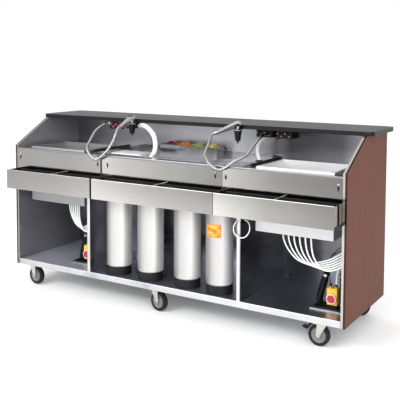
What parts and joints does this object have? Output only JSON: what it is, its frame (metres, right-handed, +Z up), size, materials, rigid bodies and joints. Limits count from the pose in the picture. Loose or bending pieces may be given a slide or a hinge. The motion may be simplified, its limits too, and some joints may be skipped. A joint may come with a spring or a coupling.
{
  "type": "portable bar with soda system",
  "caption": "Portable stainless bar seen from the bartender's side, with ice bins, speed rails, syrup tanks, two hose-fed soda guns and swivel casters.",
  "frame": {"origin": "on the floor under the middle of the bar's bounding box", "axes": "+X runs along the bar, to the bartender's right; +Y towards the customer; +Z up"},
  "size_m": [2.504, 0.855, 1.2242],
  "materials": {
    "galvanised": "galvanised, matt",
    "stainless": "brushed",
    "stainless_floor": "brushed, bright front lip",
    "stainless_liner": "brushed",
    "polished_liner": "polished, almost mirror",
    "rail_steel": "brushed along the bar",
    "laminate_wood": "mahogany laminate, vertical grain",
    "laminate_top": "charcoal laminate, satin",
    "black_rubber": "matt",
    "zinc": "bright plated",
    "black_plastic": "satin",
    "white_wrap": "wrapped foam sleeve",
    "yellow_plastic": "gloss, red end disc",
    "white_line": "translucent tubing",
    "white_plastic": "matt",
    "tank_steel": "polished",
    "gun_chrome": "satin chrome",
    "hose_steel": "flexible metal braid",
    "button_black": "gloss",
    "caster_tyre": "rubber tyre on a grey hub"
  },
  "bodies": {
    "bar": {"base_frame": "galvanised", "floor_pan": "stainless_floor", "side_panel_left": "laminate_wood", "side_panel_right": "laminate_wood", "side_liners": "stainless_liner", "customer_panel": "laminate_wood", "wall_studs": "galvanised", "back_liner": "polished_liner", "dividers": "stainless_liner", "work_deck": "stainless", "center_well": "stainless", "deck_rubber": "black_rubber", "ice_bin_left": "stainless", "ice_bin_right": "stainless", "countertop": "laminate_top", "rail_studs": "zinc", "condiment_tray": "stainless", "condiment_pans": "stainless", "gun_holsters": "black_plastic", "manifolds": "black_plastic", "riser_hoses": "white_wrap", "pump_motors": "black_plastic", "pump_heads": "yellow_plastic", "pump_wires": "black_rubber", "product_lines": "white_line", "drain_fittings": "white_plastic", "tank_shells": "tank_steel", "tank_boots": "black_rubber", "tank_fittings": "zinc", "caster_plates": "zinc", "gun_hose_left": "hose_steel", "gun_hose_right": "hose_steel"},
    "fork_front_left": {"caster_fork_front_left": "zinc"},
    "wheel_front_left": {"caster_wheel_front_left": "caster_tyre"},
    "fork_front_center": {"caster_fork_front_center": "zinc"},
    "wheel_front_center": {"caster_wheel_front_center": "caster_tyre"},
    "fork_front_right": {"caster_fork_front_right": "zinc"},
    "wheel_front_right": {"caster_wheel_front_right": "caster_tyre"},
    "fork_back_left": {"caster_fork_back_left": "zinc"},
    "wheel_back_left": {"caster_wheel_back_left": "caster_tyre"},
    "fork_back_center": {"caster_fork_back_center": "zinc"},
    "wheel_back_center": {"caster_wheel_back_center": "caster_tyre"},
    "fork_back_right": {"caster_fork_back_right": "zinc"},
    "wheel_back_right": {"caster_wheel_back_right": "caster_tyre"},
    "brake": {"brake_pedal": "black_plastic"},
    "rail_left": {"speed_rail_left": "rail_steel"},
    "rail_center": {"speed_rail_center": "rail_steel"},
    "rail_right": {"speed_rail_right": "rail_steel"},
    "gun_left": {"gun_left": "gun_chrome"},
    "button_left_1": {"gun_button_left_1": "button_black"},
    "button_left_2": {"gun_button_left_2": "button_black"},
    "button_left_3": {"gun_button_left_3": "button_black"},
    "button_left_4": {"gun_button_left_4": "button_black"},
    "gun_right": {"gun_right": "gun_chrome"},
    "button_right_1": {"gun_button_right_1": "button_black"},
    "button_right_2": {"gun_button_right_2": "button_black"},
    "button_right_3": {"gun_button_right_3": "button_black"},
    "button_right_4": {"gun_button_right_4": "button_black"},
    "board": {"cutting_board": "white_plastic"},
    "rack": {"drain_rack": "stainless"}
  },
  "joints": [
    {"name": "swivel_front_left", "type": "hinge", "parent": "bar", "child": "fork_front_left", "pos_m": [-1.118, -0.2465, 0.14], "axis": [0, 0, 1], "continuous": true},
    {"name": "roll_front_left", "type": "hinge", "parent": "fork_front_left", "child": "wheel_front_left", "pos_m": [-1.09011, -0.24894, 0.0625], "axis": [0.0872, 0.9962, 0], "continuous": true},
    {"name": "swivel_front_center", "type": "hinge", "parent": "bar", "child": "fork_front_center", "pos_m": [-0.062, -0.2465, 0.14], "axis": [0, 0, 1], "continuous": true},
    {"name": "roll_front_center", "type": "hinge", "parent": "fork_front_center", "child": "wheel_front_center", "pos_m": [-0.03442, -0.25136, 0.0625], "axis": [0.1736, 0.9848, 0], "continuous": true},
    {"name": "swivel_front_right", "type": "hinge", "parent": "bar", "child": "fork_front_right", "pos_m": [1.076, -0.2465, 0.14], "axis": [0, 0, 1], "continuous": true},
    {"name": "roll_front_right", "type": "hinge", "parent": "fork_front_right", "child": "wheel_front_right", "pos_m": [1.048, -0.2465, 0.0625], "axis": [0, -1, 0], "continuous": true},
    {"name": "swivel_back_left", "type": "hinge", "parent": "bar", "child": "fork_back_left", "pos_m": [-1.118, 0.3355, 0.14], "axis": [0, 0, 1], "continuous": true},
    {"name": "roll_back_left", "type": "hinge", "parent": "fork_back_left", "child": "wheel_back_left", "pos_m": [-1.09061, 0.34132, 0.0625], "axis": [-0.2079, 0.9781, 0], "continuous": true},
    {"name": "swivel_back_center", "type": "hinge", "parent": "bar", "child": "fork_back_center", "pos_m": [-0.062, 0.3355, 0.14], "axis": [0, 0, 1], "continuous": true},
    {"name": "roll_back_center", "type": "hinge", "parent": "fork_back_center", "child": "wheel_back_center", "pos_m": [-0.03495, 0.32825, 0.0625], "axis": [0.2588, 0.9659, 0], "continuous": true},
    {"name": "swivel_back_right", "type": "hinge", "parent": "bar", "child": "fork_back_right", "pos_m": [1.076, 0.3355, 0.14], "axis": [0, 0, 1], "continuous": true},
    {"name": "roll_back_right", "type": "hinge", "parent": "fork_back_right", "child": "wheel_back_right", "pos_m": [1.08915, 0.36022, 0.0625], "axis": [-0.8829, 0.4695, 0], "continuous": true},
    {"name": "brake_press", "type": "hinge", "parent": "fork_front_right", "child": "brake", "pos_m": [1.024, -0.2465, 0.131], "axis": [0, -1, 0], "range_deg": [0, 4]},
    {"name": "rail_lift_left", "type": "slide", "parent": "bar", "child": "rail_left", "axis": [0, 0, 1], "range_m": [0, 0.018]},
    {"name": "rail_lift_center", "type": "slide", "parent": "bar", "child": "rail_center", "axis": [0, 0, 1], "range_m": [0, 0.018]},
    {"name": "rail_lift_right", "type": "slide", "parent": "bar", "child": "rail_right", "axis": [0, 0, 1], "range_m": [0, 0.018]},
    {"name": "gun_lift_left", "type": "slide", "parent": "bar", "child": "gun_left", "axis": [0, 0, 1], "range_m": [0, 0.08], "deforming": ["gun_hose_left"]},
    {"name": "button_press_left_1", "type": "slide", "parent": "gun_left", "child": "button_left_1", "axis": [0.1794, 0.3354, -0.9249], "range_m": [0, 0.0025], "stiffness_N_per_m": 200, "springref_m": -0.0008},
    {"name": "button_press_left_2", "type": "slide", "parent": "gun_left", "child": "button_left_2", "axis": [0.1794, 0.3354, -0.9249], "range_m": [0, 0.0025], "stiffness_N_per_m": 200, "springref_m": -0.0008},
    {"name": "button_press_left_3", "type": "slide", "parent": "gun_left", "child": "button_left_3", "axis": [0.1794, 0.3354, -0.9249], "range_m": [0, 0.0025], "stiffness_N_per_m": 200, "springref_m": -0.0008},
    {"name": "button_press_left_4", "type": "slide", "parent": "gun_left", "child": "button_left_4", "axis": [0.1794, 0.3354, -0.9249], "range_m": [0, 0.0025], "stiffness_N_per_m": 200, "springref_m": -0.0008},
    {"name": "gun_lift_right", "type": "slide", "parent": "bar", "child": "gun_right", "axis": [0, 0, 1], "range_m": [0, 0.08], "deforming": ["gun_hose_right"]},
    {"name": "button_press_right_1", "type": "slide", "parent": "gun_right", "child": "button_right_1", "axis": [0.2398, -0.7431, -0.6247], "range_m": [0, 0.0025], "stiffness_N_per_m": 200, "springref_m": -0.0008},
    {"name": "button_press_right_2", "type": "slide", "parent": "gun_right", "child": "button_right_2", "axis": [0.2398, -0.7431, -0.6247], "range_m": [0, 0.0025], "stiffness_N_per_m": 200, "springref_m": -0.0008},
    {"name": "button_press_right_3", "type": "slide", "parent": "gun_right", "child": "button_right_3", "axis": [0.2398, -0.7431, -0.6247], "range_m": [0, 0.0025], "stiffness_N_per_m": 200, "springref_m": -0.0008},
    {"name": "button_press_right_4", "type": "slide", "parent": "gun_right", "child": "button_right_4", "axis": [0.2398, -0.7431, -0.6247], "range_m": [0, 0.0025], "stiffness_N_per_m": 200, "springref_m": -0.0008},
    {"name": "board_lift", "type": "slide", "parent": "bar", "child": "board", "axis": [0, 0, 1], "range_m": [0, 0.06]},
    {"name": "rack_lift", "type": "slide", "parent": "bar", "child": "rack", "axis": [0, 0, 1], "range_m": [0, 0.06]}
  ]
}
